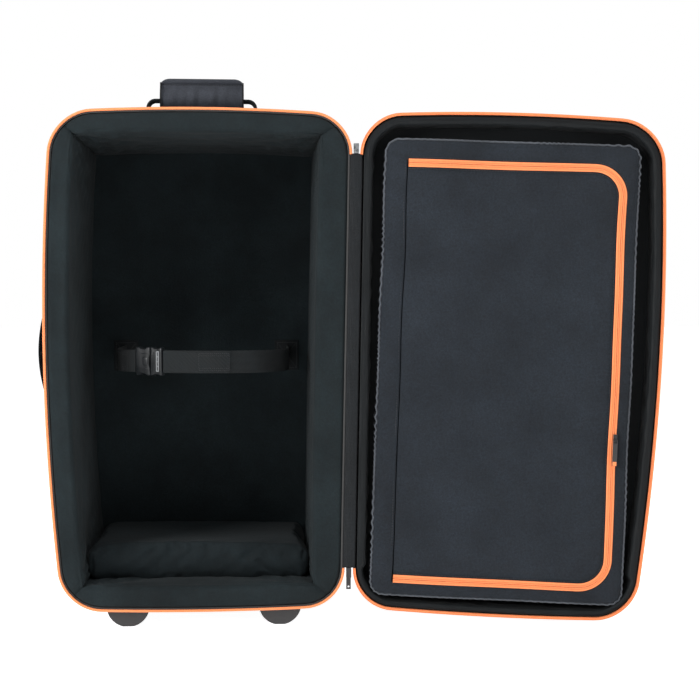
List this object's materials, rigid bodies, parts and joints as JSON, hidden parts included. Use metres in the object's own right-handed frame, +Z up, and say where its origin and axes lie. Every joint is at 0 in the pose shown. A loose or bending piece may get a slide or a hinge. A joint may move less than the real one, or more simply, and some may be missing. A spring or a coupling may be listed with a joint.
{
  "type": "telescope carry case",
  "caption": "Upright soft-sided wheeled carry case with a zip-round lid standing open, foam lining, retaining strap, zipped lid pouch and carry handles.",
  "frame": {"origin": "centre of the footprint on the floor, lid open", "axes": "+X from the body towards the opened lid, +Y from the open front to the back, +Z up"},
  "size_m": [1.1121, 0.4632, 0.985],
  "materials": {
    "nylon_shell": "woven heavy nylon",
    "brushed_lining": "brushed lining over foam",
    "board": "plain board",
    "orange_zipper": "coil zipper tape",
    "pouch_nylon": "padded nylon",
    "webbing": "ribbed webbing",
    "wrap_fabric": "padded brushed wrap",
    "steel": "plated",
    "hinge_tape": "smooth flexible band",
    "tyre": "moulded rubber",
    "black_plastic": "moulded plastic"
  },
  "bodies": {
    "case_body": {"body_gusset": "nylon_shell", "body_back_panel": "nylon_shell", "body_stiffener": "board", "body_back_board": "board", "foam_free_side": "brushed_lining", "foam_hinge_side": "brushed_lining", "foam_top": "brushed_lining", "foam_bottom": "brushed_lining", "foam_back": "brushed_lining", "base_block": "brushed_lining", "body_zip_tape": "nylon_shell", "body_zip_coil": "orange_zipper", "body_piping": "nylon_shell", "hinge_band": "hinge_tape", "top_slider": "steel", "bottom_slider": "black_plastic", "strap_anchors": "webbing", "strap_left": "webbing", "buckle_socket": "black_plastic", "strap_right": "webbing", "top_handle_patches": "webbing", "side_handle_patches": "webbing", "side_handle_webbing": "webbing", "front_feet": "black_plastic", "foot_screws": "steel", "wheel_housings": "black_plastic", "housing_screws": "steel", "wheel_axles": "steel"},
    "lid": {"lid_gusset": "nylon_shell", "lid_face_panel": "nylon_shell", "lid_board": "board", "lid_foam_panel": "brushed_lining", "lid_wall_free": "brushed_lining", "lid_wall_hinge": "brushed_lining", "lid_wall_top": "brushed_lining", "lid_wall_bottom": "brushed_lining", "lid_zip_tape": "nylon_shell", "lid_zip_coil": "orange_zipper", "lid_piping": "nylon_shell", "pouch_back": "pouch_nylon", "pouch_sides": "pouch_nylon", "pouch_border": "pouch_nylon", "pouch_border_zip": "orange_zipper"},
    "flap": {"pouch_flap": "pouch_nylon", "pouch_flap_zip": "orange_zipper"},
    "pouch_zip_slider": {"pouch_slider": "black_plastic"},
    "pouch_zip_pull": {"pouch_pull": "black_plastic"},
    "top_zip_pull": {"top_pull": "black_plastic"},
    "bottom_zip_pull": {"bottom_pull": "black_plastic"},
    "buckle_tongue": {"buckle_insert": "black_plastic"},
    "top_handle": {"top_handle_webbing": "webbing", "top_handle_wrap": "wrap_fabric"},
    "free_wheel": {"free_wheel_hub": "black_plastic", "free_wheel_tyre": "tyre"},
    "hinge_wheel": {"hinge_wheel_hub": "black_plastic", "hinge_wheel_tyre": "tyre"}
  },
  "joints": [
    {"name": "lid_hinge", "type": "hinge", "parent": "case_body", "child": "lid", "pos_m": [0.00718, -0.16638, 0.035], "axis": [0.018, 0, 0.9998], "range_deg": [-173, 7], "deforming": ["hinge_band"]},
    {"name": "flap_hinge", "type": "hinge", "parent": "lid", "child": "flap", "pos_m": [0.08368, -0.17271, 0.05325], "axis": [-0.0359, 0.0022, -0.9994], "range_deg": [0, 110]},
    {"name": "pouch_zip_slide", "type": "slide", "parent": "lid", "child": "pouch_zip_slider", "axis": [0.0359, -0.0022, 0.9994], "range_m": [-0.2, 0.4]},
    {"name": "pouch_pull_swing", "type": "hinge", "parent": "pouch_zip_slider", "child": "pouch_zip_pull", "pos_m": [0.46635, -0.22482, 0.32958], "axis": [-0.9919, 0.1218, 0.0359], "range_deg": [0, 100]},
    {"name": "top_pull_swing", "type": "hinge", "parent": "case_body", "child": "top_zip_pull", "pos_m": [0.02161, -0.15938, 0.8359], "axis": [1, 0, 0], "range_deg": [0, 100]},
    {"name": "bottom_pull_swing", "type": "hinge", "parent": "case_body", "child": "bottom_zip_pull", "pos_m": [0.00824, -0.15938, 0.08985], "axis": [1, 0, 0], "range_deg": [0, 100]},
    {"name": "buckle_release", "type": "slide", "parent": "case_body", "child": "buckle_tongue", "axis": [0.8192, -0.5736, 0], "range_m": [0, 0.03], "deforming": ["strap_right"]},
    {"name": "top_handle_fold", "type": "hinge", "parent": "case_body", "child": "top_handle", "pos_m": [-0.25257, 0.02862, 0.92049], "axis": [1, 0, 0], "range_deg": [-75, 75]},
    {"name": "free_wheel_spin", "type": "hinge", "parent": "case_body", "child": "free_wheel", "pos_m": [-0.43882, 0.19562, 0.036], "axis": [1, 0, 0], "continuous": true},
    {"name": "hinge_wheel_spin", "type": "hinge", "parent": "case_body", "child": "hinge_wheel", "pos_m": [-0.05082, 0.19562, 0.036], "axis": [1, 0, 0], "continuous": true}
  ]
}
